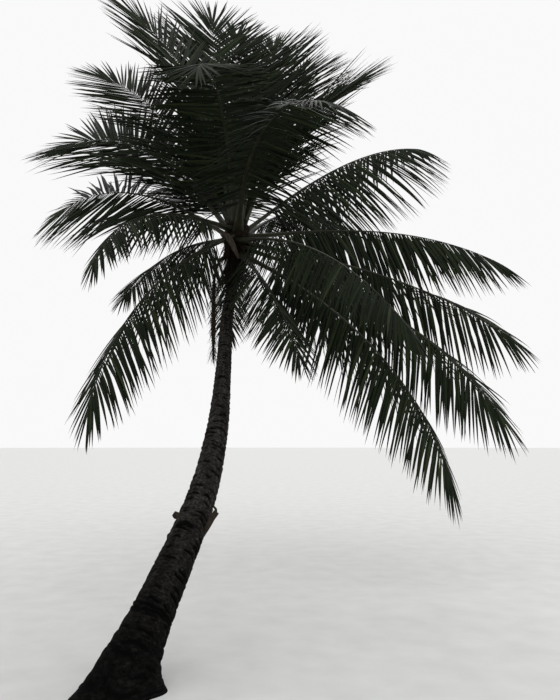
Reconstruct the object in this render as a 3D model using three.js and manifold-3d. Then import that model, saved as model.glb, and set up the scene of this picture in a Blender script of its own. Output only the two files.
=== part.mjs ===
// A coconut palm: a leaning trunk, the heart of leaf sheaths on it, and its crown of fronds.
// Millimetres, +Z up, +X to the viewer's right, +Y away from the viewer.
// The origin is the middle of the flat cut where the trunk leaves the ground.

import * as THREE from "three";
import { mergeVertices } from "three/addons/utils/BufferGeometryUtils.js";
import Module from "manifold-3d";

const wasm = await Module();
wasm.setup();

// Trunk: the places that its middle runs through, from the ground to the crown
const TRUNK_LINE = [
  [0, 0, 0],
  [150, 300, 400],
  [415, 1120, 1210],
  [478, 1850, 1800],
  [440, 3000, 2610],
  [402, 3950, 3500],
  [470, 4770, 4440],
];
const TRUNK_TOP_RADIUS = 76;
const TRUNK_SWELL = 92; // what the lower trunk has over the top
const TRUNK_SWELL_REACH = 2800; // length over which that fades
const TRUNK_SWELL_POWER = 1.4;
const FLARE = 150; // what the root flare adds at the ground
const FLARE_REACH = 200;
const FLARE_LOBES = 5;
const FLARE_LOBE_DEPTH = 0.09;
const TRUNK_SIDES = 16;
const TRUNK_STEPS = 44;
const LEVEL_END = 0.05; // share of the trunk at each end that turns its rings level

// Heart: the bulb of leaf sheaths, as [radius, height over its middle]
const HEART_MIDDLE = [470, 4770, 4800];
const HEART_PROFILE = [
  [0, -359.7],
  [84, -359.7],
  [132, -250],
  [172, -90],
  [178, 60],
  [160, 220],
  [118, 350],
  [0, 372],
];
const HEART_SIDES = 18;

// Frond: its rib, and the leaflets that stand off both sides of it
const PETIOLE_SHARE = 0.15; // bare length between the heart and the first leaflet
const PETIOLE_STEPS = 3;
const SUNK_SHARE = 0.7; // of the heart's radius, where the rib starts inside it
const RIB_BASE_WIDTH = 68;
const RIB_BASE_HEIGHT = 44;
const RIB_TIP_WIDTH = 12;
const RIB_TIP_HEIGHT = 12;
const RIB_TAPER = 2.2;
const BEND_POWER = 1.8; // how late along the rib its bend comes
const TWIST_REACH = 0.6; // share of the rib over which its blade turns to its full twist
const BEND_PARTS = 6; // that a stretch between stations is summed in
const LEAFLET_SPACING = 232;
const LEAFLET_LENGTH = 1330;
const LENGTH_WAVE_START = 0.27; // half waves of the sine that sets the leaflets' lengths
const LENGTH_WAVE_RUN = 0.57;
const LENGTH_POWER = 0.8;
const RAGGED = 0.1; // share of its length that a leaflet may lack
const LEAN_AT_FOOT = 74; // degrees between a leaflet and the rib, near the heart
const LEAN_AT_TIP = 33;
const LEAN_POWER = 1.5;
const UNFOLD_START = 0.35; // share of the way out from which the leaflets level out
const UNFOLD_END = 0.9;
const UNFOLD = 0.55; // share of their lift that they lose by then
const SAG_STANDING = 0.08; // pull of their own weight on standing leaflets, of their length
const SAG_FOLDED = 0.5; // the same on leaflets that are folded down
const FULL_FOLD = 66; // degrees
const LEAFLET_ELBOW = 0.35; // share of a leaflet before its bend
const LEAFLET_WIDTH = 0.42; // of the spacing, at the elbow
const CROWDED_WIDTH = 0.75; // of the room that leaflets leave each other where they lean forward
const LEAST_APART = 0.03; // square of the sine of the sharpest lean that this counts with
const LEAFLET_THICKNESS = 13;
const TIP_LEAFLET = 0.36; // of the full leaflet length
const SHORTER_LEAFLETS = [1, 0.8, 0.6, 0.42, 0.26];
const CLEARANCE = 3; // kept round a leaflet when it is tried against its neighbours
const SPLIT_SHARE = 0.62; // where a strongly bent frond is divided
const SPLIT_DROOP = 60; // degrees of bend from which it is
const SEAT_GAP = 0.3; // between pieces that rest on each other

// Fronds: name, turn seen from above (0 right, 90 away from the viewer), rise over level at the
// heart, droop from that by the tip, length of the rib, turn gained by the tip, height of its seat
// over the heart's middle, lift of its leaflets over the blade's plane (folded below it where that
// is negative), their share of the full leaflet length, and twist of the blade about its rib.
const FRONDS = [
  ["right_level", 4, 7.6, 34.5, 4050, -2, 70, -66, 0.98, -28],
  ["right_high", 24, 42, 29, 4300, 14, 170, -60, 1.2, -26],
  ["right_lower", -7, -12.5, 26, 4180, -1, -40, -60, 0.98, -54],
  ["right_low", -27, -24, 33.5, 4540, 3, -110, -60, 0.94, -40],
  ["right_hanging", -40, -30, 46, 4700, 26, -220, -62, 0.84, -24],
  ["near_right_arch", -82, 28, 64, 3650, 40, 120, -36, 0.85, 0],
  ["near_right", -65, -14, 40, 4400, 18, -20, -60, 0.62, 0],
  ["near_low", -70, -30, 22, 3150, 0, -205, -50, 0.58, 0],
  ["near_left_low", 239, -29, 48, 4000, -2, 60, -66, 0.75, 12],
  ["near_left", 226, 2, 75, 2870, 13, 165, -50, 0.58, 0],
  ["left_level", 161, 36, 60, 3650, -8, 80, -16, 1.16, 54],
  ["left_low", 126, 13, 48, 3850, 12, 65, -56, 0.7, 0],
  ["left_high", 164, 54, 60, 3700, -2, 150, 2, 1.3, 50],
  ["left_steep", 150, 62, 33, 4220, 15, 245, 4, 1.06, 44],
  ["left_upright", 186, 79, 38, 3800, 0, 300, 4, 1.12, 44],
  ["top_left", 122, 75, 9, 4580, -22, 345, 20, 1.22, 0],
  ["top_right", 64, 74, 18, 4380, 20, 345, 20, 1.16, 0],
  ["top_near", -95, 50, 100, 3400, 0, 270, -20, 0.9, 0],
  ["top_far", 96, 78, 18, 4550, 0, 225, 20, 1.18, 0],
  ["far_right_high", 64, 66, 16, 4580, -7, 190, 8, 1.26, -6],
  ["far_right_steep", 35, 67.5, 37, 3820, 13, 270, 8, 1.4, -4],
  ["far_hanging", 97, 7, 62, 3600, 0, -60, -56, 0.62, 0],
  ["far_left_high", 108, 46, 40, 4200, 6, 180, -10, 0.95, 20],
  ["far_right", 60, 36, 50, 3600, -5, 80, -40, 0.75, 0],
  ["far_left", 134, 50, 26, 4100, 10, 120, 0, 1, 34],
].map(([name, turn, rise, droop, length, sweep, seat, lift, leaf, twist]) => {
  return { name, turn, rise, droop, length, sweep, seat, lift, leaf, twist };
});

// Old flower stalk: it leaves the foot of the heart and hangs beside the trunk
const STALK_LINE = [
  [390, 4715, 4540],
  [255, 4620, 4500],
  [165, 4540, 4260],
  [150, 4480, 3700],
  [165, 4430, 2930],
];
const STALK_RADII = [24, 17, 20, 30, 15]; // evenly spaced along it
const STALK_STEPS = 14;

// Spathe: the dry sheath of an old flower stalk, arched over the viewer's side of the heart
const SPATHE_LINE = [
  [330, 4700, 4760],
  [262, 4560, 4850],
  [318, 4450, 4815],
  [425, 4400, 4640],
  [520, 4390, 4420],
];
const SPATHE_RADII = [20, 34, 44, 38, 9];
const SPATHE_FLATNESS = 0.55;
const SPATHE_STEPS = 9;
const STALK_SIDES = 8;

const BARK = new THREE.MeshStandardMaterial({ color: 0x6b6258, roughness: 0.95, metalness: 0 });
const SHEATH = new THREE.MeshStandardMaterial({ color: 0x5a4a35, roughness: 0.95, metalness: 0 });
const LEAF = new THREE.MeshStandardMaterial({ color: 0x35471f, roughness: 0.6, metalness: 0 });
const DRY = new THREE.MeshStandardMaterial({ color: 0x9a8560, roughness: 0.9, metalness: 0 });

const UP = new THREE.Vector3(0, 0, 1);
const DOWN = new THREE.Vector3(0, 0, -1);
const radians = THREE.MathUtils.degToRad;
const mix = THREE.MathUtils.lerp;
const heartMiddle = new THREE.Vector3(...HEART_MIDDLE);

// A number from 0 to 1 that depends only on the whole numbers given
function chance(first, second) {
  const wave = Math.sin(first * 127.1 + second * 311.7 + 7.3) * 43758.5453;
  return wave - Math.floor(wave);
}

function closedSolid(geometry) {
  const bare = geometry.clone();
  bare.deleteAttribute("normal");
  bare.deleteAttribute("uv");
  const merged = mergeVertices(bare, 1e-3);
  const shell = new wasm.Mesh({
    numProp: 3,
    vertProperties: new Float32Array(merged.attributes.position.array),
    triVerts: new Uint32Array(merged.index.array),
  });
  return new wasm.Manifold(shell);
}

function solidGeometry(solid) {
  const shell = solid.getMesh();
  const geometry = new THREE.BufferGeometry();
  geometry.setAttribute("position", new THREE.BufferAttribute(shell.vertProperties, 3));
  geometry.setIndex(new THREE.BufferAttribute(shell.triVerts, 1));
  return geometry;
}

// Points and faces of a shell that is put together quad by quad
class Shell {
  constructor() {
    this.points = [];
    this.faces = [];
  }

  add(point) {
    this.points.push(point.x, point.y, point.z);
    return this.points.length / 3 - 1;
  }

  quad(a, b, c, d) {
    this.faces.push(a, b, c, a, c, d);
  }

  // A blade that grows out of the rim a, b, c, d to its elbow section and on to a point
  blade(rim, leaflet) {
    const elbow = leaflet.elbow.map((point) => this.add(point));
    const tip = this.add(leaflet.tip);
    for (let i = 0; i < 4; i++) {
      const next = (i + 1) % 4;
      this.quad(rim[i], rim[next], elbow[next], elbow[i]);
      this.faces.push(elbow[i], elbow[next], tip);
    }
  }

  geometry() {
    const geometry = new THREE.BufferGeometry();
    geometry.setAttribute("position", new THREE.Float32BufferAttribute(this.points, 3));
    geometry.setIndex(this.faces);
    return geometry;
  }
}

// A cylinder bent along a line. Its radius is given for each share of the line, angle round it
// and length of the whole line. Over the share levelEnd at each end its rings turn level.
function bentCylinder(places, sides, steps, levelEnd, radiusAt) {
  const line = new THREE.CatmullRomCurve3(places.map((place) => new THREE.Vector3(...place)));
  const length = line.getLength();
  const geometry = new THREE.CylinderGeometry(1, 1, 1, sides, steps);
  const position = geometry.attributes.position;
  const sideways = new THREE.Vector3();
  const across = new THREE.Vector3();
  for (let i = 0; i < position.count; i++) {
    const share = THREE.MathUtils.clamp(position.getY(i) + 0.5, 0, 1);
    const tangent = line.getTangentAt(share);
    const level = levelEnd > 0 ? Math.min(share, 1 - share) / levelEnd : 1;
    tangent.lerpVectors(UP, tangent, THREE.MathUtils.smoothstep(level, 0, 1)).normalize();
    sideways.set(1, 0, 0).addScaledVector(tangent, -tangent.x).normalize();
    across.crossVectors(tangent, sideways);
    const out = Math.hypot(position.getX(i), position.getZ(i));
    const angle = Math.atan2(-position.getZ(i), position.getX(i));
    const radius = radiusAt(share, angle, length);
    const place = line.getPointAt(share);
    place.addScaledVector(sideways, out * radius.x * Math.cos(angle));
    place.addScaledVector(across, out * radius.y * Math.sin(angle));
    position.setXYZ(i, place.x, place.y, place.z);
  }
  return geometry;
}

function trunkRadius(share, angle, length) {
  const height = share * length;
  const swell = Math.exp(-Math.pow(height / TRUNK_SWELL_REACH, TRUNK_SWELL_POWER));
  const flare = Math.exp(-height / FLARE_REACH);
  const lobes = 1 + FLARE_LOBE_DEPTH * flare * Math.cos(FLARE_LOBES * angle);
  const radius = (TRUNK_TOP_RADIUS + TRUNK_SWELL * swell + FLARE * flare) * lobes;
  return { x: radius, y: radius };
}

// A stalk or sheath whose radius runs through evenly spaced values
function stalkGeometry(places, radii, steps, flatness) {
  return bentCylinder(places, STALK_SIDES, steps, 0, (share) => {
    const spot = share * (radii.length - 1);
    const low = Math.min(Math.floor(spot), radii.length - 2);
    const radius = mix(radii[low], radii[low + 1], spot - low);
    return { x: radius, y: radius * flatness };
  });
}

function heartGeometry(clearance) {
  const profile = HEART_PROFILE.map(([radius, height]) => {
    const out = radius === 0 ? 0 : radius + clearance;
    return new THREE.Vector2(out, height + Math.sign(height) * clearance);
  });
  const geometry = new THREE.LatheGeometry(profile, HEART_SIDES);
  geometry.rotateX(Math.PI / 2);
  geometry.translate(...HEART_MIDDLE);
  return geometry;
}

// The heart's radius at a height over its middle
function heartRadius(height) {
  const above = HEART_PROFILE.findIndex((place, i) => i > 1 && place[1] >= height);
  const [low, high] = [HEART_PROFILE[above - 1], HEART_PROFILE[above]];
  return mix(low[0], high[0], (height - low[1]) / (high[1] - low[1]));
}

// Where a frond's rib lies and points at each of its stations
function ribStations(frond) {
  const leafy = frond.length * (1 - PETIOLE_SHARE);
  const pairs = Math.round(leafy / LEAFLET_SPACING);
  const shares = [];
  for (let i = 0; i < PETIOLE_STEPS; i++) {
    shares.push((PETIOLE_SHARE * i) / PETIOLE_STEPS);
  }
  for (let i = 0; i <= pairs; i++) {
    shares.push(PETIOLE_SHARE + ((1 - PETIOLE_SHARE) * i) / pairs);
  }
  const turn = radians(frond.turn);
  const start = SUNK_SHARE * heartRadius(frond.seat);
  const place = new THREE.Vector3(start * Math.cos(turn), start * Math.sin(turn), frond.seat);
  place.add(heartMiddle);
  let last = 0;
  return shares.map((share) => {
    const part = (share - last) / BEND_PARTS;
    for (let i = 0; i < BEND_PARTS; i++) {
      const { along } = ribDirection(frond, last + part * (i + 0.5));
      place.addScaledVector(along, frond.length * part);
    }
    last = share;
    return { place: place.clone(), ...ribDirection(frond, share), ...ribSection(share) };
  });
}

function ribDirection(frond, share) {
  const bend = Math.pow(share, BEND_POWER);
  const rise = radians(frond.rise - frond.droop * bend);
  const turn = radians(frond.turn + frond.sweep * bend);
  const level = Math.cos(rise);
  const along = new THREE.Vector3(level * Math.cos(turn), level * Math.sin(turn), Math.sin(rise));
  const right = new THREE.Vector3(Math.sin(turn), -Math.cos(turn), 0);
  right.applyAxisAngle(along, -radians(frond.twist) * Math.min(1, share / TWIST_REACH));
  const top = new THREE.Vector3().crossVectors(right, along);
  return { along, right, top, lift: frond.lift };
}

function ribSection(share) {
  const left = Math.pow(1 - share, RIB_TAPER);
  return {
    width: mix(RIB_TIP_WIDTH, RIB_BASE_WIDTH, left),
    height: mix(RIB_TIP_HEIGHT, RIB_BASE_HEIGHT, left),
  };
}

// Corners of the rib's section: top left, top right, bottom right, bottom left
function ribCorners(station, forward = 0) {
  const corners = [[-1, 1], [1, 1], [1, -1], [-1, -1]];
  return corners.map(([sideways, upwards]) => {
    const corner = station.place.clone().addScaledVector(station.along, forward);
    corner.addScaledVector(station.right, (sideways * station.width) / 2);
    return corner.addScaledVector(station.top, (upwards * station.height) / 2);
  });
}

// The rule of the leaflets. Their length grows over two fifths of the way and dwindles to the tip.
// They lean forward more towards the tip. On a steep rib they stand up in a V, and where the rib
// lies flat or droops they fold down on both sides of it, like a roof.
function leafletLength(outward) {
  const wave = Math.sin(Math.PI * (LENGTH_WAVE_START + LENGTH_WAVE_RUN * outward));
  return LEAFLET_LENGTH * Math.pow(wave, LENGTH_POWER);
}

function leafletDirection(station, side, outward, share) {
  const forward = radians(mix(LEAN_AT_FOOT, LEAN_AT_TIP, Math.pow(outward, LEAN_POWER)));
  const unfolded = UNFOLD * THREE.MathUtils.smoothstep(outward, UNFOLD_START, UNFOLD_END);
  const lift = radians(station.lift * (1 - unfolded));
  const start = new THREE.Vector3()
    .addScaledVector(station.along, Math.cos(forward))
    .addScaledVector(station.right, side * Math.sin(forward) * Math.cos(lift))
    .addScaledVector(station.top, Math.sin(forward) * Math.sin(lift));
  const folded = THREE.MathUtils.clamp(-station.lift / FULL_FOLD, 0, 1);
  return start.addScaledVector(DOWN, mix(SAG_STANDING, SAG_FOLDED, folded) * share).normalize();
}

// One leaflet between two stations: its elbow section and its tip
function makeLeaflet(near, far, side, outward, scale, swelling) {
  const station = { ...near, place: near.place.clone().lerp(far.place, 0.5) };
  const length = leafletLength(outward) * scale;
  const first = leafletDirection(station, side, outward, LEAFLET_ELBOW / 2);
  const second = leafletDirection(station, side, outward, (1 + LEAFLET_ELBOW) / 2);
  const bend = station.place.addScaledVector(station.right, (side * station.width) / 2);
  bend.addScaledVector(first, length * LEAFLET_ELBOW);
  const tip = bend.clone().addScaledVector(second, length * (1 - LEAFLET_ELBOW) + swelling);
  const middle = first.clone().add(second).normalize();
  const apart = Math.sqrt(Math.max(LEAST_APART, 1 - second.dot(near.along) ** 2));
  const spacing = near.place.distanceTo(far.place);
  const half = (spacing * Math.min(LEAFLET_WIDTH, CROWDED_WIDTH * apart)) / 2 + swelling;
  const across = near.along.clone().addScaledVector(middle, -near.along.dot(middle)).normalize();
  const face = new THREE.Vector3().crossVectors(middle, across).multiplyScalar(side);
  const thick = LEAFLET_THICKNESS / 2 + swelling;
  const signs = side > 0
    ? [[-1, 1], [-1, -1], [1, -1], [1, 1]]
    : [[-1, -1], [-1, 1], [1, 1], [1, -1]];
  const elbow = signs.map(([forwards, outwards]) => {
    const point = bend.clone().addScaledVector(across, forwards * half);
    return point.addScaledVector(face, outwards * thick);
  });
  return { elbow, tip };
}

// A leaflet as a solid of its own, to try against what is there already
function leafletSolid(near, far, side, leaflet) {
  const shell = new Shell();
  const [a, b] = [ribCorners(near), ribCorners(far)];
  const rim = side > 0 ? [a[1], a[2], b[2], b[1]] : [a[3], a[0], b[0], b[3]];
  const ring = rim.map((point) => shell.add(point));
  shell.blade(ring, leaflet);
  shell.quad(ring[3], ring[2], ring[1], ring[0]);
  return closedSolid(shell.geometry());
}

function ribPieceSolid(near, far) {
  const shell = new Shell();
  const a = ribCorners(near).map((point) => shell.add(point));
  const b = ribCorners(far).map((point) => shell.add(point));
  for (let i = 0; i < 4; i++) {
    const next = (i + 1) % 4;
    shell.quad(a[i], a[next], b[next], b[i]);
  }
  shell.quad(a[3], a[2], a[1], a[0]);
  shell.quad(b[0], b[1], b[2], b[3]);
  return closedSolid(shell.geometry());
}

// Everything that a later leaflet has to keep clear of
class Space {
  constructor() {
    this.taken = [];
  }

  take(solid, owner, index) {
    this.taken.push({ solid, owner, index, box: boxOf(solid) });
  }

  isFree(solid, owner, index) {
    const box = boxOf(solid);
    return !this.taken.some((other) => {
      const beside = other.owner === owner && Math.abs(other.index - index) <= 1;
      if (beside || !box.intersectsBox(other.box)) {
        return false;
      }
      const shared = solid.intersect(other.solid);
      const meets = !shared.isEmpty();
      shared.delete();
      return meets;
    });
  }
}

function boxOf(solid) {
  const { min, max } = solid.boundingBox();
  return new THREE.Box3(new THREE.Vector3(...min), new THREE.Vector3(...max));
}

// The longest leaflet that fits between two stations, or none
function fitLeaflet(space, frond, near, far, index, side, outward) {
  const ragged = 1 - RAGGED * chance(FRONDS.indexOf(frond), side * index);
  for (const shorter of SHORTER_LEAFLETS) {
    const scale = frond.leaf * shorter * ragged;
    const trial = makeLeaflet(near, far, side, outward, scale, CLEARANCE);
    const solid = leafletSolid(near, far, side, trial);
    if (space.isFree(solid, frond.name, index)) {
      space.take(solid, frond.name, index);
      return makeLeaflet(near, far, side, outward, scale, 0);
    }
    solid.delete();
  }
  return null;
}

function growLeaflets(space, frond, stations) {
  const pairs = stations.length - 1 - PETIOLE_STEPS;
  return stations.slice(0, -1).map((near, index) => {
    if (index < PETIOLE_STEPS) {
      return {};
    }
    const outward = (index - PETIOLE_STEPS + 0.5) / pairs;
    const far = stations[index + 1];
    return {
      right: fitLeaflet(space, frond, near, far, index, 1, outward),
      left: fitLeaflet(space, frond, near, far, index, -1, outward),
    };
  });
}

// The frond's blade from one station to another, cut to the rib between its leaflets
function frondGeometry(stations, leaflets, first, last) {
  const shell = new Shell();
  const shift = first > 0 ? SEAT_GAP : 0;
  let a = ribCorners(stations[first], shift).map((point) => shell.add(point));
  shell.quad(a[0], a[3], a[2], a[1]);
  for (let i = first; i < last; i++) {
    const b = ribCorners(stations[i + 1]).map((point) => shell.add(point));
    shell.quad(a[0], a[1], b[1], b[0]);
    shell.quad(a[2], a[3], b[3], b[2]);
    closeSide(shell, [a[1], a[2], b[2], b[1]], leaflets[i].right);
    closeSide(shell, [a[3], a[0], b[0], b[3]], leaflets[i].left);
    a = b;
  }
  if (last === stations.length - 1) {
    const end = stations[last];
    const tip = end.place.clone().addScaledVector(end.along, TIP_LEAFLET * LEAFLET_LENGTH);
    const point = shell.add(tip);
    for (let i = 0; i < 4; i++) {
      shell.faces.push(a[i], a[(i + 1) % 4], point);
    }
  } else {
    shell.quad(a[1], a[2], a[3], a[0]);
  }
  return shell.geometry();
}

function closeSide(shell, rim, leaflet) {
  if (leaflet) {
    shell.blade(rim, leaflet);
  } else {
    shell.quad(...rim);
  }
}

function named(name, geometry, material) {
  const mesh = new THREE.Mesh(geometry, material);
  mesh.name = name;
  return mesh;
}

const palm = new THREE.Group();
const space = new Space();

const trunk = bentCylinder(TRUNK_LINE, TRUNK_SIDES, TRUNK_STEPS, LEVEL_END, trunkRadius);
palm.add(named("trunk", trunk, BARK));
space.take(closedSolid(trunk), "trunk", 0);

const heart = heartGeometry(0);
palm.add(named("heart", heart, SHEATH));
space.take(closedSolid(heart), "heart", 0);

// Cut to fit the heart: what starts inside it ends a seat gap off its surface
const socket = closedSolid(heartGeometry(SEAT_GAP));
function seated(name, geometry, material) {
  const solid = closedSolid(geometry).subtract(socket);
  palm.add(named(name, solidGeometry(solid), material));
  return solid;
}

const stalk = stalkGeometry(STALK_LINE, STALK_RADII, STALK_STEPS, 1);
space.take(seated("old_stalk", stalk, DRY), "old_stalk", 0);
const spathe = stalkGeometry(SPATHE_LINE, SPATHE_RADII, SPATHE_STEPS, SPATHE_FLATNESS);
space.take(seated("spathe", spathe, DRY), "spathe", 0);

const ribs = FRONDS.map((frond) => ribStations(frond));
ribs.forEach((stations, i) => {
  for (let j = 0; j < stations.length - 1; j++) {
    space.take(ribPieceSolid(stations[j], stations[j + 1]), FRONDS[i].name, j);
  }
});

FRONDS.forEach((frond, i) => {
  const stations = ribs[i];
  const leaflets = growLeaflets(space, frond, stations);
  const last = stations.length - 1;
  const bend = frond.droop >= SPLIT_DROOP ? Math.round(last * SPLIT_SHARE) : last;
  seated(`frond_${frond.name}`, frondGeometry(stations, leaflets, 0, bend), LEAF);
  if (bend < last) {
    const outer = frondGeometry(stations, leaflets, bend, last);
    palm.add(named(`frond_${frond.name}_end`, outer, LEAF));
  }
});

export default palm;
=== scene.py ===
import math
import random
from collections import namedtuple

import bmesh
import bpy
from mathutils import Matrix, Vector, noise


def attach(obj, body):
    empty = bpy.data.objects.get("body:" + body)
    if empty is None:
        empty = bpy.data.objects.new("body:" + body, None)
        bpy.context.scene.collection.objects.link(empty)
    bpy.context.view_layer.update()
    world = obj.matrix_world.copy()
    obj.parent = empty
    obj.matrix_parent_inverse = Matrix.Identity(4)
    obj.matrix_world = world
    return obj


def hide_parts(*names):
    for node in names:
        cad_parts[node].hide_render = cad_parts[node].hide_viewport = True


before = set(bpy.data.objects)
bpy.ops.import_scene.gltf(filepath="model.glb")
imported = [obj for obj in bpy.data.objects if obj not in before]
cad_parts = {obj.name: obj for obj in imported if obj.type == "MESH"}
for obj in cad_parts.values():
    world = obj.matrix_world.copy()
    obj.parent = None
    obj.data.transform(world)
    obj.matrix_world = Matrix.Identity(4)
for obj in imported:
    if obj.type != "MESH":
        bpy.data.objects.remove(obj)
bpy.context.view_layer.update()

# Camera: it stands on the ground before the palm at eye height and looks slightly up, so that the
# trunk leans in from the lower left and the crown fills the upper half of the picture.
EYE = Vector((1.13, -4.76, 1.70))
EYE_TILT = math.radians(8.44)
camera_data = bpy.data.cameras.new("camera")
camera_data.lens = 32.9
camera_data.sensor_width = 36
camera_data.clip_end = 2000
camera = bpy.data.objects.new("camera", camera_data)
camera.location = EYE
camera.rotation_euler = (math.pi / 2 + EYE_TILT, 0, 0)
bpy.context.collection.objects.link(camera)
bpy.context.scene.camera = camera


# Studio: a plain pale floor out to the horizon, an even pale light from all round, and one large
# soft light from behind and above, which leaves the crown dark against the brightness.
FLOOR_REACH = 400


def node_material(name, roughness, shine=0.5):
    """A material with its shader, and ways to add nodes and colour ramps and to wire them to it."""
    made = bpy.data.materials.new(name)
    made.use_nodes = True
    shader = made.node_tree.nodes["Principled BSDF"]
    shader.inputs["Roughness"].default_value = roughness
    shader.inputs["Specular IOR Level"].default_value = shine

    def add(kind, settings=None, **inputs):
        node = made.node_tree.nodes.new("ShaderNode" + kind)
        for key, value in (settings or {}).items():
            setattr(node, key, value)
        for key, value in inputs.items():
            socket = node.inputs[key.replace("_", " ")]
            if isinstance(value, bpy.types.NodeSocket):
                made.node_tree.links.new(value, socket)
            else:
                socket.default_value = value
        return node

    def ramp(factor, *stops):
        node = add("ValToRGB")
        made.node_tree.links.new(factor, node.inputs["Fac"])
        elements = node.color_ramp.elements
        while len(elements) < len(stops):
            elements.new(0.5)
        for element, (place, colour) in zip(elements, stops):
            element.position = place
            element.color = (*colour, 1)
        return node.outputs["Color"]

    def wire(source, key):
        made.node_tree.links.new(source, shader.inputs[key])

    return made, add, ramp, wire


def finished(name, build, materials):
    """The built mesh as an object at the origin, with its materials."""
    mesh = bpy.data.meshes.new(name)
    build.to_mesh(mesh)
    build.free()
    for made in materials:
        mesh.materials.append(made)
    piece = bpy.data.objects.new(name, mesh)
    bpy.context.collection.objects.link(piece)
    return piece


floor_paint, add, ramp, wire = node_material("floor_paint", 0.95)
speckle = add("TexNoise", Scale=3.0, Detail=4.0, Vector=add("TexCoord").outputs["Object"])
pale = ramp(speckle.outputs["Fac"], (0.3, (0.60, 0.60, 0.59)), (0.7, (0.66, 0.66, 0.65)))
wire(pale, "Base Color")
floor_build = bmesh.new()
bmesh.ops.create_circle(floor_build, cap_ends=True, segments=128, radius=FLOOR_REACH)
floor = finished("floor", floor_build, [floor_paint])

world = bpy.data.worlds.new("studio")
world.use_nodes = True
world.node_tree.nodes["Background"].inputs["Color"].default_value = (1, 1, 1, 1)
world.node_tree.nodes["Background"].inputs["Strength"].default_value = 0.95
bpy.context.scene.world = world
bpy.context.scene.view_settings.view_transform = "Standard"

soft_light = bpy.data.lights.new("soft_light", "SUN")
soft_light.energy = 1.2
soft_light.angle = math.radians(40)
soft_lamp = bpy.data.objects.new("soft_light", soft_light)
soft_lamp.rotation_euler = (math.radians(-48), math.radians(14), 0)
bpy.context.collection.objects.link(soft_lamp)


# Trunk: one leaning stem of tough fibre that widens in a flare at the ground. Each shed frond left
# a scar that rings it, tilted and a little proud, and the grey bark between has weathered rough.
TRUNK_LINE = [
    (0, 0, 0),
    (0.150, 0.300, 0.400),
    (0.415, 1.120, 1.210),
    (0.478, 1.850, 1.800),
    (0.440, 3.000, 2.610),
    (0.402, 3.950, 3.500),
    (0.470, 4.770, 4.440),
]
TRUNK_TOP_RADIUS = 0.076
TRUNK_SWELL = 0.092
TRUNK_SWELL_REACH = 2.8
TRUNK_SWELL_POWER = 1.4
FLARE = 0.150
FLARE_REACH = 0.200
FLARE_LOBES = 5
FLARE_LOBE_DEPTH = 0.09
LEVEL_END = 0.05
TRUNK_SIDES = 96
TRUNK_RINGS = 860
SCAR_SPACING = 0.075
SCAR_STEP = 0.014
SCAR_TILT = 0.045
SCAR_TILT_SPREAD = (0.3, 1.2)
SCAR_TURN = (-3.0, -1.3)
SCAR_SPREAD = (0.45, 1.5)
SCAR_WANDER = 0.020
SCAR_STRENGTH = 0.65
SCAR_STRENGTH_SPREAD = 1.9
SCAR_FAINTEST = 0.1
NO_SCAR = 1e9
LEDGE_HEIGHT = 0.75
LEDGE_RISE_POWER = 1.3
LEDGE_FALL = 0.2
LEDGE_FALL_POWER = 0.6
GROOVE = 0.032
GROOVE_NARROWEST = 0.4
GROOVE_WIDENING = 0.8
GROOVE_EDGE = 2.4
GROOVE_DEPTH = 0.007
KNOB_HEIGHT = 0.006
GRAIN_HEIGHT = 0.003
FIBRE_HEIGHT = 0.0035
RELIEF_AT_FOOT = 0.2
RELIEF_RISE = 8
UP = Vector((0, 0, 1))


def smooth_line(places, count):
    """Points and directions at even steps along the smooth curve through the places."""
    places = [Vector(place) for place in places]
    parts = 60
    ends = [2 * places[0] - places[1], *places, 2 * places[-1] - places[-2]]
    dense = []
    for before, start, end, after in zip(ends, ends[1:], ends[2:], ends[3:]):
        first = (start - before).length ** 0.5
        middle = (end - start).length ** 0.5
        last = (after - end).length ** 0.5
        level = (end - start) / middle
        leave = (start - before) / first - (end - before) / (first + middle) + level
        arrive = level - (after - start) / (middle + last) + (after - end) / last
        for i in range(parts):
            t = i / parts
            point = start * (2 * t**3 - 3 * t**2 + 1) + end * (3 * t**2 - 2 * t**3)
            point += leave * middle * (t**3 - 2 * t**2 + t) + arrive * middle * (t**3 - t**2)
            dense.append(point)
    dense.append(places[-1])
    lengths = [0.0]
    for a, b in zip(dense, dense[1:]):
        lengths.append(lengths[-1] + (b - a).length)
    even = []
    at = 0
    for i in range(count + 1):
        goal = lengths[-1] * i / count
        while at < len(dense) - 2 and lengths[at + 1] < goal:
            at += 1
        share = (goal - lengths[at]) / (lengths[at + 1] - lengths[at])
        even.append(dense[at].lerp(dense[at + 1], min(share, 1)))
    ways = []
    for i in range(count + 1):
        ways.append((even[min(i + 1, count)] - even[max(i - 1, 0)]).normalized())
    return even, ways, lengths[-1]


def rolled(build, sides, rings, place_at):
    """A grid rolled into a closed skin. place_at gives each vertex its place by side and ring."""
    grid = bmesh.ops.create_grid(build, x_segments=sides, y_segments=rings, size=0.5)["verts"]
    for vert in grid:
        side = round((vert.co.x + 0.5) * sides)
        ring = round((vert.co.y + 0.5) * rings)
        vert.co = place_at(vert, side % sides, ring)
    bmesh.ops.remove_doubles(build, verts=grid, dist=1e-6)
    rims = [edge for edge in build.edges if edge.is_boundary]
    bmesh.ops.holes_fill(build, edges=rims)
    bmesh.ops.recalc_face_normals(build, faces=build.faces)


def scar_lines(chance, length):
    """The scars up the trunk, each as its height, which way it tilts, and by how much."""
    scars = []
    height = -SCAR_SPACING
    while height < length + SCAR_SPACING:
        tilt = SCAR_TILT * chance.uniform(*SCAR_TILT_SPREAD)
        scars.append((height, chance.uniform(*SCAR_TURN), tilt))
        height += SCAR_SPACING * chance.uniform(*SCAR_SPREAD)
    return scars


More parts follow.
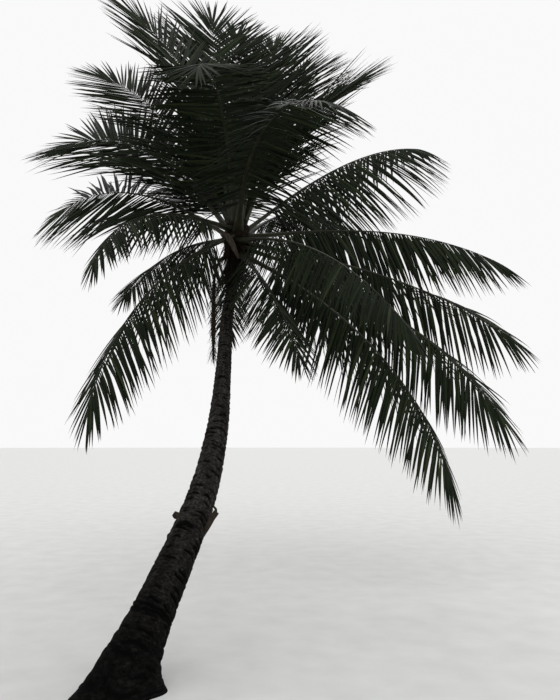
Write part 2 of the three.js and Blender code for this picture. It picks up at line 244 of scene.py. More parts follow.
def bark_relief(scars, angle, height):
    """How far the bark stands out, and how deep in a scar's groove the place is (0 to 1), for painted
    shade.
    """

    def bumps(around, along, apart):
        """Noise of a given fineness around and along the trunk, apart from the other layers."""
        place = Vector((around * math.cos(angle), around * math.sin(angle), along * height + apart))
        return noise.noise(place)

    below = -NO_SCAR
    above = NO_SCAR
    for level, phase, tilt in scars:
        if abs(level - height) > 3 * SCAR_SPACING:
            continue
        line = level + tilt * math.cos(angle - phase) + SCAR_WANDER * bumps(2.2, 7, 0)
        if line <= height:
            below = max(below, line)
        else:
            above = min(above, line)
    share = (height - below) / max(above - below, 1e-6)
    ledge = share**LEDGE_RISE_POWER
    if share >= 1 - LEDGE_FALL:
        ledge = LEDGE_HEIGHT * ((1 - share) / LEDGE_FALL) ** LEDGE_FALL_POWER
    strength = SCAR_STRENGTH + SCAR_STRENGTH_SPREAD * bumps(1.6, 10, 40)
    strength = min(1, max(SCAR_FAINTEST, strength))
    reach = GROOVE * (GROOVE_NARROWEST + GROOVE_WIDENING * strength)
    groove = min(1, max(0, GROOVE_EDGE * (1 - (height - below) / reach)))
    out = SCAR_STEP * strength * (ledge - 0.5) - GROOVE_DEPTH * groove * strength
    out += (KNOB_HEIGHT * bumps(4, 22, 9) + GRAIN_HEIGHT * bumps(14, 60, 0)
            + FIBRE_HEIGHT * bumps(1.3, 60, 20))
    # The second value is the groove mask that the bark paints as shade in the scars.
    return out, groove * min(1, 1.5 * strength)


trunk_places, trunk_ways, trunk_length = smooth_line(TRUNK_LINE, TRUNK_RINGS)
trunk_scars = scar_lines(random.Random(11), trunk_length)
trunk_build = bmesh.new()
grain_layer = trunk_build.verts.layers.float_vector.new("grain")
# This layer holds each vertex's groove depth, which the bark paints as shade in the scar grooves.
groove_shade_layer = trunk_build.verts.layers.float.new("scar")


def trunk_vertex(vert, side, ring):
    """The trunk's skin at one side and ring, with its grain and its painted groove shade kept on the
    vertex.
    """
    share = ring / TRUNK_RINGS
    height = share * trunk_length
    angle = math.tau * side / TRUNK_SIDES
    level = min(1, min(share, 1 - share) / LEVEL_END)
    way = UP.lerp(trunk_ways[ring], level * level * (3 - 2 * level)).normalized()
    sideways = (Vector((1, 0, 0)) - way * way.x).normalized()
    across = way.cross(sideways)
    swell = TRUNK_SWELL * math.exp(-((height / TRUNK_SWELL_REACH) ** TRUNK_SWELL_POWER))
    flare = math.exp(-height / FLARE_REACH)
    lobes = 1 + FLARE_LOBE_DEPTH * flare * math.cos(FLARE_LOBES * angle)
    relief, groove = bark_relief(trunk_scars, angle, height)
    shown = min(1, RELIEF_RISE * share + RELIEF_AT_FOOT)
    radius = (TRUNK_TOP_RADIUS + swell + FLARE * flare) * lobes + relief * shown
    vert[grain_layer] = Vector((math.cos(angle), math.sin(angle), height))
    vert[groove_shade_layer] = groove
    place = trunk_places[ring] + sideways * radius * math.cos(angle)
    return place + across * radius * math.sin(angle)


def smooth_shaded(piece):
    piece.data.polygons.foreach_set("use_smooth", [True] * len(piece.data.polygons))


rolled(trunk_build, TRUNK_SIDES, TRUNK_RINGS, trunk_vertex)

bark, add, ramp, wire = node_material("bark", 0.95, 0.05)
grain = add("Attribute", {"attribute_name": "grain"}).outputs["Vector"]
scar = add("Attribute", {"attribute_name": "scar"}).outputs["Fac"]
flattened = add("Mapping", Vector=grain, Scale=(1.0, 1.0, 10.0)).outputs["Vector"]
mottle = add("TexNoise", Vector=flattened, Scale=5.0, Detail=9.0, Roughness=0.75)
patches = add("TexNoise", Vector=grain, Scale=2.6, Detail=5.0, Roughness=0.6)
grey = ramp(mottle.outputs["Fac"], (0.34, (0.004, 0.0037, 0.0033)), (0.46, (0.020, 0.0187, 0.017)),
            (0.56, (0.048, 0.0455, 0.042)), (0.68, (0.115, 0.11, 0.102)))
damp = ramp(patches.outputs["Fac"], (0.38, (0.35, 0.34, 0.32)), (0.62, (1.0, 1.0, 1.0)))
dull = add("MixRGB", {"blend_type": "MULTIPLY"}, Fac=0.8, Color1=grey, Color2=damp)
height = add("SeparateXYZ", Vector=grain).outputs["Z"]
# Painted shade: the bark is painted darker towards the foot, where the trunk stands in shade.
foot_shade = add("MapRange", Value=height, From_Min=0.3, From_Max=1.9, To_Min=0.15, To_Max=1.0)
foot = add("MixRGB", {"blend_type": "MULTIPLY"}, Fac=1.0, Color1=dull.outputs["Color"],
           Color2=foot_shade.outputs["Result"])
# Painted shade: the scar grooves are painted near black, as the shade that falls in them.
groove_shaded = add("MixRGB", {"blend_type": "MIX"}, Fac=scar, Color1=foot.outputs["Color"],
           Color2=(0.0012, 0.001, 0.0009, 1))
wire(groove_shaded.outputs["Color"], "Base Color")
rough = add("Bump", Strength=0.9, Distance=0.008, Height=mottle.outputs["Fac"])
wire(rough.outputs["Normal"], "Normal")

trunk = finished("trunk_bark", trunk_build, [bark])
smooth_shaded(trunk)
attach(trunk, "root")
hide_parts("trunk")


# Stubs on the trunk: the dry foot of an old stalk that stands out on the right, split at its end,
# and a chip of scar left standing on the other side. Both are sunk in the bark.
STUB_LINE = [
    (0.405, 0.875, 0.870),
    (0.470, 0.872, 0.950),
    (0.532, 0.878, 1.050),
    (0.582, 0.884, 1.132),
]
STUB_RADII = [0.026, 0.024, 0.022, 0.024]
SPLINTER_LINE = [
    (0.570, 0.884, 1.105),
    (0.578, 0.884, 1.150),
    (0.555, 0.882, 1.185),
    (0.535, 0.880, 1.235),
]
SPLINTER_RADII = [0.014, 0.010, 0.006, 0.003]
CHIP_LINE = [
    (0.285, 0.905, 1.090),
    (0.245, 0.893, 1.098),
    (0.214, 0.888, 1.118),
]
CHIP_RADII = [0.044, 0.036, 0.022]
STALK_UNEVEN = 0.16
STALK_UNEVEN_FINENESS = 18


def ridged_stalk(places, radii, flatness, sides, rings, ridge, ridges):
    """A bent stalk whose radius runs through evenly spaced values, with ridges along it."""
    line, ways, _ = smooth_line(places, rings)

    def stalk_vertex(vert, side, ring):
        angle = math.tau * side / sides
        sideways = (Vector((1, 0, 0)) - ways[ring] * ways[ring].x).normalized()
        across = ways[ring].cross(sideways)
        spot = ring / rings * (len(radii) - 1)
        low = min(int(spot), len(radii) - 2)
        radius = radii[low] + (radii[low + 1] - radii[low]) * (spot - low)
        spoke = Vector((math.cos(angle), math.sin(angle), 0))
        uneven = noise.noise(line[ring] * STALK_UNEVEN_FINENESS + spoke)
        radius *= 1 + ridge * math.cos(ridges * angle) + STALK_UNEVEN * uneven
        out = sideways * radius * math.cos(angle)
        return line[ring] + out + across * radius * flatness * math.sin(angle)

    build = bmesh.new()
    rolled(build, sides, rings, stalk_vertex)
    return build


def joined(builds):
    """Several built meshes as one."""
    whole = bmesh.new()
    for build in builds:
        part = bpy.data.meshes.new("part")
        build.to_mesh(part)
        build.free()
        whole.from_mesh(part)
        bpy.data.meshes.remove(part)
    return whole


dry_wood, add, ramp, wire = node_material("dry_wood", 0.88, 0.1)
place = add("TexCoord").outputs["Object"]
drawn_out = add("Mapping", Vector=place, Scale=(60, 60, 12)).outputs["Vector"]
fibre = add("TexNoise", Vector=drawn_out, Scale=1.0, Detail=6.0, Roughness=0.65)
brown = ramp(fibre.outputs["Fac"], (0.3, (0.008, 0.006, 0.0045)), (0.7, (0.05, 0.04, 0.029)))
wire(brown, "Base Color")
furrows = add("Bump", Strength=0.6, Distance=0.003, Height=fibre.outputs["Fac"])
wire(furrows.outputs["Normal"], "Normal")

stubs = finished("trunk_stubs", joined([
    ridged_stalk(STUB_LINE, STUB_RADII, flatness=0.8, sides=14, rings=24, ridge=0.10, ridges=5),
    ridged_stalk(SPLINTER_LINE, SPLINTER_RADII, flatness=0.7, sides=10, rings=16, ridge=0.10, ridges=4),
    ridged_stalk(CHIP_LINE, CHIP_RADII, flatness=0.45, sides=12, rings=12, ridge=0.08, ridges=4),
]), [dry_wood])
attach(stubs, "root")


# Heart: the bulb at the trunk's top where all fronds start, wrapped in the coarse brown net of
# fibre that their sheaths leave as they dry. Loose fibres stand off the net, and a ragged skirt of
# long strands and strips of torn sheath hangs from it round the trunk.
HEART_MIDDLE = Vector((0.470, 4.770, 4.800))
HEART_PROFILE = [
    (0.000, -0.3597),
    (0.084, -0.3597),
    (0.132, -0.250),
    (0.172, -0.090),
    (0.178, 0.060),
    (0.160, 0.220),
    (0.118, 0.350),
    (0.000, 0.372),
]
HEART_SIDES = 72
HEART_RINGS = 84
SHEATH_RADIUS = 0.16
SHEATH_STEP = 0.022
SHEATH_ROUGHNESS = 0.05


def heart_radius(height):
    """The bulb's radius at a height over its middle."""
    for (inner, bottom), (outer, top) in zip(HEART_PROFILE[1:], HEART_PROFILE[2:]):
        if height <= top:
            return inner + (outer - inner) * (height - bottom) / (top - bottom)
    return 0.0


def heart_vertex(vert, side, ring):
    """The bulb's skin at one side and ring, in overlapping scales that wind round it."""
    spot = ring / HEART_RINGS * (len(HEART_PROFILE) - 1)
    low = min(int(spot), len(HEART_PROFILE) - 2)
    inner, bottom = HEART_PROFILE[low]
    outer, top = HEART_PROFILE[low + 1]
    radius = inner + (outer - inner) * (spot - low)
    height = bottom + (top - bottom) * (spot - low)
    angle = math.tau * side / HEART_SIDES
    if 0 < ring < HEART_RINGS:
        scale = abs(math.sin(4 * angle + 9 * height)) * SHEATH_STEP
        rough = noise.noise(Vector((4 * math.cos(angle), 4 * math.sin(angle), 16 * height)))
        radius *= 1 + (scale + SHEATH_ROUGHNESS * rough) / SHEATH_RADIUS
    return HEART_MIDDLE + Vector((radius * math.cos(angle), radius * math.sin(angle), height))


heart_build = bmesh.new()
rolled(heart_build, HEART_SIDES, HEART_RINGS, heart_vertex)

sheath_net, add, ramp, wire = node_material("sheath_net", 0.95, 0.1)
place = add("TexCoord").outputs["Object"]
drawn_out = add("Mapping", Vector=place, Scale=(40, 40, 9)).outputs["Vector"]
weave = add("TexNoise", Vector=drawn_out, Scale=1.5, Detail=8.0, Roughness=0.7)
threads = add("TexWave", {"bands_direction": "DIAGONAL"}, Vector=place, Scale=26.0, Distortion=6.0,
              Detail=3.0)
brown = ramp(weave.outputs["Fac"], (0.3, (0.004, 0.0027, 0.0018)), (0.55, (0.014, 0.010, 0.006)),
             (0.8, (0.040, 0.028, 0.018)))
wire(brown, "Base Color")
coarse = add("Bump", Strength=0.7, Distance=0.006, Height=threads.outputs["Fac"])
wire(coarse.outputs["Normal"], "Normal")

heart = finished("heart_sheaths", heart_build, [sheath_net])
smooth_shaded(heart)
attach(heart, "root")
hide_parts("heart")


NET_FIBRES = 520
NET_HEIGHT = (-0.34, 0.34, -0.1)
NET_OUT = (0.2, 0.9)
NET_AROUND = (-0.7, 0.7)
NET_UP = (-0.6, 0.6)
NET_LENGTH = (0.05, 0.19)
NET_WIDTH = (0.002, 0.006)
NET_SEAT = 0.97
NET_STEPS = 4
NET_PULL = 0.38
SKIRT_STRANDS = 420
SKIRT_RING = (0.09, 0.18)
SKIRT_HEIGHT = (-0.36, -0.16)
SKIRT_OUT = (-0.10, 0.03)
SKIRT_AROUND = (-0.12, 0.12)
SKIRT_LENGTH = (0.25, 1.15, 0.5)
SKIRT_WIDTH = (0.006, 0.016)
SKIRT_SWAY = 0.12
LOOSE_STEPS = 5
TRUNK_LEAN = Vector((0.07, 0.85, 0))
SHEATH_RAGS = 90
RAG_HEIGHT = (-0.24, 0.05)
RAG_OUT = (0.15, 0.7)
RAG_AROUND = (-0.4, 0.4)
RAG_LENGTH = (0.18, 0.50)
RAG_WIDTH = (0.018, 0.042)
RAG_SEAT = 0.95
RAG_DOWN = 0.8
RAG_PULL = 0.25
RAG_SWAY = 0.2
STRAND_TAPER = 0.6
STRAND_RIDGE = 1.2


def level_ways(angle):
    """The level way out from an upright axis at an angle, and the way around it there."""
    out = Vector((math.cos(angle), math.sin(angle), 0))
    return out, Vector((-out.y, out.x, 0))


def loose_path(chance, place, way, length, steps, pull, sway=0, around=UP):
    """Places along a loose fibre, pulled down by its weight and straying sideways by its sway."""
    path = []
    for i in range(steps + 1):
        path.append((place, i / steps))
        place = place + way * length / steps
        way = way - UP * pull
        if sway:
            way = way + around * chance.uniform(-sway, sway)
        way = way.normalized()
    return path


def spike_faces(faces, first, corners, rings):
    """The faces of a closed spike, whose points are its rings from the first on and then its tip."""
    faces.append(tuple(range(first, first + corners)))
    for ring in range(rings - 1):
        low = first + corners * ring
        for i in range(corners):
            j = (i + 1) % corners
            faces.append((low + j, low + i, low + corners + i, low + corners + j))
    low = first + corners * (rings - 1)
    for i in range(corners):
        faces.append((low + (i + 1) % corners, low + i, low + corners))


def strand(points, faces, path, width, sideways):
    """A three-sided fibre along a path, down to a point at its end."""
    first = len(points)
    for place, share in path[:-1]:
        half = width * (1 - STRAND_TAPER * share) / 2
        points.append(place + sideways * half)
        points.append(place - sideways * half)
        points.append(place + UP * half * STRAND_RIDGE)
    points.append(path[-1][0])
    spike_faces(faces, first, 3, len(path) - 1)


def from_lists(name, points, faces, materials, tones=None):
    """Many small things as one joined mesh at the origin."""
    mesh = bpy.data.meshes.new(name)
    mesh.from_pydata(points, [], faces)
    for made in materials:
        mesh.materials.append(made)
    if tones:
        mesh.polygons.foreach_set("material_index", tones)
    mesh.update()
    piece = bpy.data.objects.new(name, mesh)
    bpy.context.collection.objects.link(piece)
    return piece


strand_points = []
strand_faces = []
chance = random.Random(5)
for _ in range(NET_FIBRES):
    out, around = level_ways(chance.uniform(0, math.tau))
    height = chance.triangular(*NET_HEIGHT)
    place = HEART_MIDDLE + out * heart_radius(height) * NET_SEAT + UP * height
    way = out * chance.uniform(*NET_OUT) + around * chance.uniform(*NET_AROUND)
    way = (way + UP * chance.uniform(*NET_UP)).normalized()
    length = chance.uniform(*NET_LENGTH)
    path = loose_path(chance, place, way, length, NET_STEPS, NET_PULL)
    strand(strand_points, strand_faces, path, chance.uniform(*NET_WIDTH), around)
for _ in range(SKIRT_STRANDS):
    out, around = level_ways(chance.uniform(0, math.tau))
    place = HEART_MIDDLE + out * chance.uniform(*SKIRT_RING) + UP * chance.uniform(*SKIRT_HEIGHT)
    way = out * chance.uniform(*SKIRT_OUT) + around * chance.uniform(*SKIRT_AROUND)
    way = (way - UP - TRUNK_LEAN).normalized()
    length = chance.triangular(*SKIRT_LENGTH)
    path = loose_path(chance, place, way, length, LOOSE_STEPS, 0, SKIRT_SWAY, around)
    strand(strand_points, strand_faces, path, chance.uniform(*SKIRT_WIDTH), around)
for _ in range(SHEATH_RAGS):
    out, around = level_ways(chance.uniform(0, math.tau))
    height = chance.uniform(*RAG_HEIGHT)
    place = HEART_MIDDLE + out * heart_radius(height) * RAG_SEAT + UP * height
    way = out * chance.uniform(*RAG_OUT) + around * chance.uniform(*RAG_AROUND)
    way = (way - UP * RAG_DOWN).normalized()
    length = chance.uniform(*RAG_LENGTH)
    path = loose_path(chance, place, way, length, LOOSE_STEPS, RAG_PULL, RAG_SWAY, around)
    strand(strand_points, strand_faces, path, chance.uniform(*RAG_WIDTH), around)
fibres = from_lists("heart_fibres", strand_points, strand_faces, [sheath_net])
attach(fibres, "root")


# Old flower stalk: the dry stalk of a past bunch. It leaves the foot of the heart, hangs down
# beside the trunk, and still carries the thin broken twigs of its bunch near its lower end.
STALK_LINE = [
    (0.390, 4.715, 4.540),
    (0.255, 4.620, 4.500),
    (0.165, 4.540, 4.260),
    (0.150, 4.480, 3.700),
    (0.165, 4.430, 2.930),
]
STALK_RADII = [0.024, 0.018, 0.026, 0.032, 0.012]
STALK_TWIGS = 260
TWIG_SPOTS = 200
TWIG_RANGE = (0.30, 0.99)
TWIG_OUT = (0.25, 0.8)
TWIG_LENGTH = (0.07, 0.24)
TWIG_WIDTH = (0.006, 0.014)
TWIG_DOWN = 0.6
TWIG_PULL = 0.3
TWIG_SWAY = 0.2

stalk_build = ridged_stalk(STALK_LINE, STALK_RADII, flatness=1, sides=16, rings=120, ridge=0.07, ridges=6)
stalk = finished("flower_stalk", stalk_build, [dry_wood])
stalk_places, _, _ = smooth_line(STALK_LINE, TWIG_SPOTS)
twig_points = []
twig_faces = []
chance = random.Random(8)
for _ in range(STALK_TWIGS):
    place = stalk_places[int(TWIG_SPOTS * chance.uniform(*TWIG_RANGE))]
    out, around = level_ways(chance.uniform(0, math.tau))
    way = (out * chance.uniform(*TWIG_OUT) - UP * TWIG_DOWN).normalized()
    length = chance.uniform(*TWIG_LENGTH)
    path = loose_path(chance, place, way, length, LOOSE_STEPS, TWIG_PULL, TWIG_SWAY, around)
    strand(twig_points, twig_faces, path, chance.uniform(*TWIG_WIDTH), around)
twigs = from_lists("flower_twigs", twig_points, twig_faces, [dry_wood])
for piece in (stalk, twigs):
    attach(piece, "root")
    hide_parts("old_stalk")


# Spathe: the dry woody sheath that wrapped a flower stalk. It arches out over the near side of
# the heart, boat-shaped with ridges from end to end, and has bleached pale.
SPATHE_LINE = [
    (0.330, 4.700, 4.760),
    (0.262, 4.560, 4.850),
    (0.318, 4.450, 4.815),
    (0.425, 4.400, 4.640),
    (0.520, 4.390, 4.420),
]
SPATHE_RADII = [0.020, 0.034, 0.044, 0.038, 0.009]
SPATHE_FLATNESS = 0.55

pale_husk, add, ramp, wire = node_material("pale_husk", 0.8, 0.15)
place = add("TexCoord").outputs["Object"]
drawn_out = add("Mapping", Vector=place, Scale=(30, 30, 6)).outputs["Vector"]
bleach = add("TexNoise", Vector=drawn_out, Scale=1.6, Detail=6.0, Roughness=0.6)
straw = ramp(bleach.outputs["Fac"], (0.3, (0.020, 0.016, 0.012)), (0.7, (0.085, 0.072, 0.055)))
wire(straw, "Base Color")
furrows = add("Bump", Strength=0.5, Distance=0.003, Height=bleach.outputs["Fac"])
wire(furrows.outputs["Normal"], "Normal")
spathe_build = ridged_stalk(SPATHE_LINE, SPATHE_RADII, flatness=SPATHE_FLATNESS, sides=40, rings=60,
                            ridge=0.07, ridges=12)
spathe = finished("spathe_husk", spathe_build, [pale_husk])
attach(spathe, "root")
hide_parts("spathe")


# Frond ribs: each frond hangs on one long green rib. Its broad foot clasps the heart, then comes a
# smooth stalk that is hollowed on top, then a slender rod that the leaflets' weight bends down.

# A frond's values: turn seen from above (0 right, 90 away), rise at the heart, droop by the tip,
# length, turn gained by the tip, height of its foot over the heart's middle, its leaflets' lift,
# their share of the full length, and the twist of its blade about the rib.
Frond = namedtuple("Frond", "name turn rise droop length sweep seat lift leaf twist")
FROND_VALUES = [
    ("right_level", 4, 7.6, 34.5, 4.05, -2, 0.070, -66, 0.98, -28),
    ("right_high", 24, 42, 29, 4.30, 14, 0.170, -60, 1.20, -26),
    ("right_lower", -7, -12.5, 26, 4.18, -1, -0.040, -60, 0.98, -54),
    ("right_low", -27, -24, 33.5, 4.54, 3, -0.110, -60, 0.94, -40),
    ("right_hanging", -40, -30, 46, 4.70, 26, -0.220, -62, 0.84, -24),
    ("near_right_arch", -82, 28, 64, 3.65, 40, 0.120, -36, 0.85, 0),
    ("near_right", -65, -14, 40, 4.40, 18, -0.020, -60, 0.62, 0),
    ("near_low", -70, -30, 22, 3.15, 0, -0.205, -50, 0.58, 0),
    ("near_left_low", 239, -29, 48, 4.00, -2, 0.060, -66, 0.75, 12),
    ("near_left", 226, 2, 75, 2.87, 13, 0.165, -50, 0.58, 0),
    ("left_level", 161, 36, 60, 3.65, -8, 0.080, -16, 1.16, 54),
    ("left_low", 126, 13, 48, 3.85, 12, 0.065, -56, 0.70, 0),
    ("left_high", 164, 54, 60, 3.70, -2, 0.150, 2, 1.30, 50),
    ("left_steep", 150, 62, 33, 4.22, 15, 0.245, 4, 1.06, 44),
    ("left_upright", 186, 79, 38, 3.80, 0, 0.300, 4, 1.12, 44),
    ("top_left", 122, 75, 9, 4.58, -22, 0.345, 20, 1.22, 0),
    ("top_right", 64, 74, 18, 4.38, 20, 0.345, 20, 1.16, 0),
    ("top_near", -95, 50, 100, 3.40, 0, 0.270, -20, 0.90, 0),
    ("top_far", 96, 78, 18, 4.55, 0, 0.225, 20, 1.18, 0),
    ("far_right_high", 64, 66, 16, 4.58, -7, 0.190, 8, 1.26, -6),
    ("far_right_steep", 35, 67.5, 37, 3.82, 13, 0.270, 8, 1.40, -4),
    ("far_hanging", 97, 7, 62, 3.60, 0, -0.060, -56, 0.62, 0),
    ("far_left_high", 108, 46, 40, 4.20, 6, 0.180, -10, 0.95, 20),
    ("far_right", 60, 36, 50, 3.60, -5, 0.080, -40, 0.75, 0),
    ("far_left", 134, 50, 26, 4.10, 10, 0.120, 0, 1.00, 34),
]
FRONDS = [Frond(*values) for values in FROND_VALUES]
SIDES_OF_CROWN = ["right", "near", "left", "top", "far"]
SUNK_SHARE = 0.7
PETIOLE_SHARE = 0.15
TWIST_REACH = 0.6
BEND_POWER = 1.8
RIB_BASE_WIDTH = 0.118
RIB_BASE_HEIGHT = 0.070
RIB_TIP_WIDTH = 0.006
RIB_TIP_HEIGHT = 0.006
RIB_TAPER = 2.1
RIB_STEPS = 240
RIB_STEPS_PER_RING = 4
RIB_SECTION = [
    (-0.50, 0.30), (-0.34, 0.50), (-0.12, 0.30), (0.12, 0.30), (0.34, 0.50), (0.50, 0.30),
    (0.46, -0.15), (0.28, -0.42), (0.00, -0.50), (-0.28, -0.42), (-0.46, -0.15),
]
CLASP = 0.7
CLASP_REACH = 0.05
CLASP_IN_HEIGHT = 0.4


class Station:
    """A place on a rib, with the ways it points, the rib's size, and its leaflets' lift and share."""

    def __init__(self, frond, share, place):
        bend = share**BEND_POWER
        rise = math.radians(frond.rise - frond.droop * bend)
        turn = math.radians(frond.turn + frond.sweep * bend)
        twist = math.radians(frond.twist) * min(1, share / TWIST_REACH)
        level = Vector((math.sin(turn), -math.cos(turn), 0))
        self.along = Vector((
            math.cos(rise) * math.cos(turn),
            math.cos(rise) * math.sin(turn),
            math.sin(rise),
        ))
        self.right = level * math.cos(twist) + level.cross(self.along) * math.sin(twist)
        self.top = self.right.cross(self.along)
        self.place = place
        self.lift = frond.lift
        self.leaf = frond.leaf
        left = (1 - share) ** RIB_TAPER
        self.width = RIB_TIP_WIDTH + (RIB_BASE_WIDTH - RIB_TIP_WIDTH) * left
        self.height = RIB_TIP_HEIGHT + (RIB_BASE_HEIGHT - RIB_TIP_HEIGHT) * left


def rib_stations(frond):
    """Stations at even steps along a frond's rib, from its foot sunk in the heart to its tip."""
    turn = math.radians(frond.turn)
    foot = SUNK_SHARE * heart_radius(frond.seat)
    place = HEART_MIDDLE + Vector((foot * math.cos(turn), foot * math.sin(turn), frond.seat))
    stations = [Station(frond, 0, place)]
    for i in range(RIB_STEPS):
        halfway = Station(frond, (i + 0.5) / RIB_STEPS, place)
        place = place + halfway.along * frond.length / RIB_STEPS
        stations.append(Station(frond, (i + 1) / RIB_STEPS, place))
    return stations


def rib_build(stations):
    """A rib's skin, broadened where its foot clasps the heart."""
    rings = RIB_STEPS // RIB_STEPS_PER_RING

    def rib_vertex(vert, side, ring):
        station = stations[RIB_STEPS_PER_RING * ring]
        clasp = 1 + CLASP * math.exp(-ring / rings / CLASP_REACH)
        taller = 1 - CLASP_IN_HEIGHT + CLASP_IN_HEIGHT * clasp
        sideways, upwards = RIB_SECTION[side]
        place = station.place + station.right * sideways * station.width * clasp
        return place + station.top * upwards * station.height * taller

    build = bmesh.new()
    rolled(build, len(RIB_SECTION), rings, rib_vertex)
    return build


def frond_nodes(crown_side):
    """The nodes of the fronds on one side of the crown."""
    return [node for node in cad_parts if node.startswith("frond_" + crown_side)]


rib_green, add, ramp, wire = node_material("rib_green", 0.55, 0.25)
place = add("TexCoord").outputs["Object"]
mottle = add("TexNoise", Vector=place, Scale=7.0, Detail=6.0, Roughness=0.6)
olive = ramp(mottle.outputs["Fac"], (0.3, (0.007, 0.008, 0.003)), (0.55, (0.017, 0.018, 0.007)),
             (0.75, (0.034, 0.031, 0.014)))
wire(olive, "Base Color")
faint = add("Bump", Strength=0.3, Distance=0.003, Height=mottle.outputs["Fac"])
wire(faint.outputs["Normal"], "Normal")

ribs = {frond.name: rib_stations(frond) for frond in FRONDS}
for crown_side in SIDES_OF_CROWN:
    own = [rib_build(stations) for name, stations in ribs.items() if name.startswith(crown_side)]
    piece = finished("ribs_" + crown_side, joined(own), [rib_green])
    smooth_shaded(piece)
    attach(piece, "root")
    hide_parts(*frond_nodes(crown_side))


# Leaflets: narrow leathery blades in two rows along each rib, folded like a roof along their own
# ridge. They fold down and hang on the low fronds and stand in a V on the steep ones. Towards the
# tip they lean forward, and the last of them close the fan.
LEAFLET_SPACING = 0.037
LEAFLET_LENGTH = 1.330
LENGTH_WAVE_START = 0.27
LENGTH_WAVE_RUN = 0.57
LENGTH_POWER = 0.8
LEAN_AT_FOOT = 74
LEAN_AT_TIP = 33
LEAN_POWER = 1.5
TIP_START = 0.86
TIP_LEAN_LOST = 0.78
TIP_LENGTH_LOST = 0.08
UNFOLD_START = 0.35
UNFOLD_END = 0.90
UNFOLD = 0.55
SAG_STANDING = 0.08
SAG_FOLDED = 0.50
FULL_FOLD = 66
LEAFLET_WIDTH = 0.046
LEAFLET_FOLD = 0.20
LEAFLET_RIDGE = 0.0035
WIDTH_ALONG = [0.42, 0.86, 1.0, 0.94, 0.80, 0.58, 0.32]
SEAT_ACROSS = 0.4
SEAT_UP = 0.2
FORWARD_SCATTER = 3.5
LIFT_SCATTER = 4.5
LIFT_DRIFT = 7
ROLL_SCATTER = 14
LENGTH_SPREAD = (0.86, 1.02)
SAG_SPREAD = (0.6, 1.5)
WIDTH_SPREAD = (0.85, 1.1)
SPOT_SPREAD = 0.7
DRIFT_APART = 3.7
DRIFT_FINENESS = 9
DRIFT_SIDES = 5
TONES = [0, 0, 0, 1, 1, 1, 2]


def leaf_material(name, deep, pale):
    """One leaf colour, mottled from deep to pale, with fine veins."""
    made, add, ramp, wire = node_material(name, 0.65, 0.15)
    place = add("TexCoord").outputs["Object"]
    spread = add("TexNoise", Vector=place, Scale=5.0, Detail=5.0, Roughness=0.6)
    wire(ramp(spread.outputs["Fac"], (0.3, deep), (0.7, pale)), "Base Color")
    veins = add("TexNoise", Vector=place, Scale=90.0, Detail=2.0)
    relief = add("Bump", Strength=0.2, Distance=0.002, Height=veins.outputs["Fac"])
    wire(relief.outputs["Normal"], "Normal")
    return made


leaf_tones = [
    leaf_material("leaflet_deep", (0.0035, 0.0065, 0.0022), (0.007, 0.012, 0.004)),
    leaf_material("leaflet_green", (0.006, 0.0105, 0.0035), (0.011, 0.019, 0.006)),
    leaf_material("leaflet_light", (0.013, 0.020, 0.0065), (0.023, 0.033, 0.011)),
]


def leaflet_length(outward):
    """A full leaflet's length at a share of the way out along the leafy part of the rib."""
    wave = math.sin(math.pi * (LENGTH_WAVE_START + LENGTH_WAVE_RUN * outward))
    return LEAFLET_LENGTH * wave**LENGTH_POWER


def leaflet_way(station, side, outward, tip, chance, drift):
    """The way a leaflet leaves the rib: forward by its lean, and up or down by its lift."""
    lean = LEAN_AT_FOOT + (LEAN_AT_TIP - LEAN_AT_FOOT) * outward**LEAN_POWER
    forward = math.radians(lean * (1 - TIP_LEAN_LOST * tip) + chance.gauss(0, FORWARD_SCATTER))
    unfolded = min(1, max(0, (outward - UNFOLD_START) / (UNFOLD_END - UNFOLD_START)))
    unfolded = unfolded * unfolded * (3 - 2 * unfolded)
    lift = station.lift * (1 - UNFOLD * unfolded)
    lift = math.radians(lift + chance.gauss(0, LIFT_SCATTER) + LIFT_DRIFT * drift)
    way = station.along * math.cos(forward)
    way += station.right * side * math.sin(forward) * math.cos(lift)
    way += station.top * math.sin(forward) * math.sin(lift)
    return way


def blade(points, faces, place, way, across, length, width, sag):
    """One closed blade, as rings of four points: edge, ridge, edge and keel."""
    steps = len(WIDTH_ALONG)
    first = len(points)
    for i, share in enumerate(WIDTH_ALONG):
        here = (way - UP * sag * i / steps).normalized()
        across = (across - here * across.dot(here)).normalized()
        face = here.cross(across)
        half = width * share / 2
        low = face * half * LEAFLET_FOLD * 2
        points.append(place - across * half - low)
        points.append(place + face * LEAFLET_RIDGE / 2)
        points.append(place + across * half - low)
        points.append(place - face * LEAFLET_RIDGE / 2)
        place = place + here * length / steps
    points.append(place)
    spike_faces(faces, first, 4, steps)


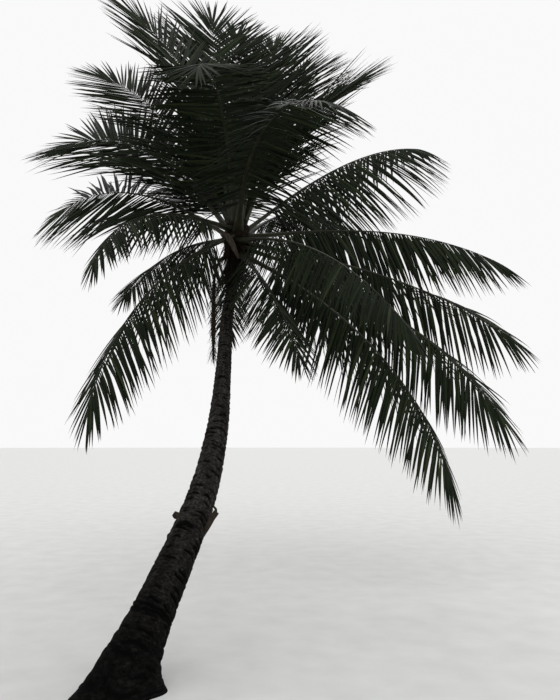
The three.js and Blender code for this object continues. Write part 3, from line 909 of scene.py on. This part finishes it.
def add_leaflet(points, faces, station, side, outward, chance, drift):
    """A leaflet on one side of a rib, with its own length, sag, width and roll."""
    tip = max(0, (outward - TIP_START) / (1 - TIP_START))
    way = leaflet_way(station, side, outward, tip, chance, drift)
    length = leaflet_length(outward) * station.leaf * (1 - TIP_LENGTH_LOST * tip)
    length *= chance.uniform(*LENGTH_SPREAD)
    folded = min(1, max(0, -station.lift / FULL_FOLD))
    sag = (SAG_STANDING + (SAG_FOLDED - SAG_STANDING) * folded) * chance.uniform(*SAG_SPREAD)
    width = LEAFLET_WIDTH * (0.5 + 0.5 * length / LEAFLET_LENGTH) * chance.uniform(*WIDTH_SPREAD)
    roll = Matrix.Rotation(math.radians(chance.gauss(0, ROLL_SCATTER)), 3, way)
    across = roll @ (side * (station.along - way * station.along.dot(way)).normalized())
    place = station.place + station.right * side * station.width * SEAT_ACROSS
    place += station.top * station.height * SEAT_UP
    blade(points, faces, place, way, across, length, width, sag)


def grow_frond(points, faces, tones, frond, seed):
    """All leaflets of a frond, in pairs at even steps from the end of its bare stalk to its tip."""
    chance = random.Random(seed)
    stations = ribs[frond.name]
    pairs = round(frond.length * (1 - PETIOLE_SHARE) / LEAFLET_SPACING)
    for i in range(pairs):
        outward = (i + 0.5) / pairs
        share = PETIOLE_SHARE + (1 - PETIOLE_SHARE) * outward
        for side in (1, -1):
            spot = round(share * RIB_STEPS + chance.uniform(-SPOT_SPREAD, SPOT_SPREAD))
            spot = min(RIB_STEPS - 1, max(0, spot))
            drift_place = Vector((seed * DRIFT_APART, outward * DRIFT_FINENESS, side * DRIFT_SIDES))
            drift = noise.noise(drift_place)
            before = len(faces)
            add_leaflet(points, faces, stations[spot], side, outward, chance, drift)
            tones.extend([chance.choice(TONES)] * (len(faces) - before))


for crown_side in SIDES_OF_CROWN:
    points = []
    faces = []
    tones = []
    for seed, frond in enumerate(FRONDS):
        if frond.name.startswith(crown_side):
            grow_frond(points, faces, tones, frond, seed)
    piece = from_lists("leaflets_" + crown_side, points, faces, leaf_tones, tones)
    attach(piece, "root")
    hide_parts(*frond_nodes(crown_side))
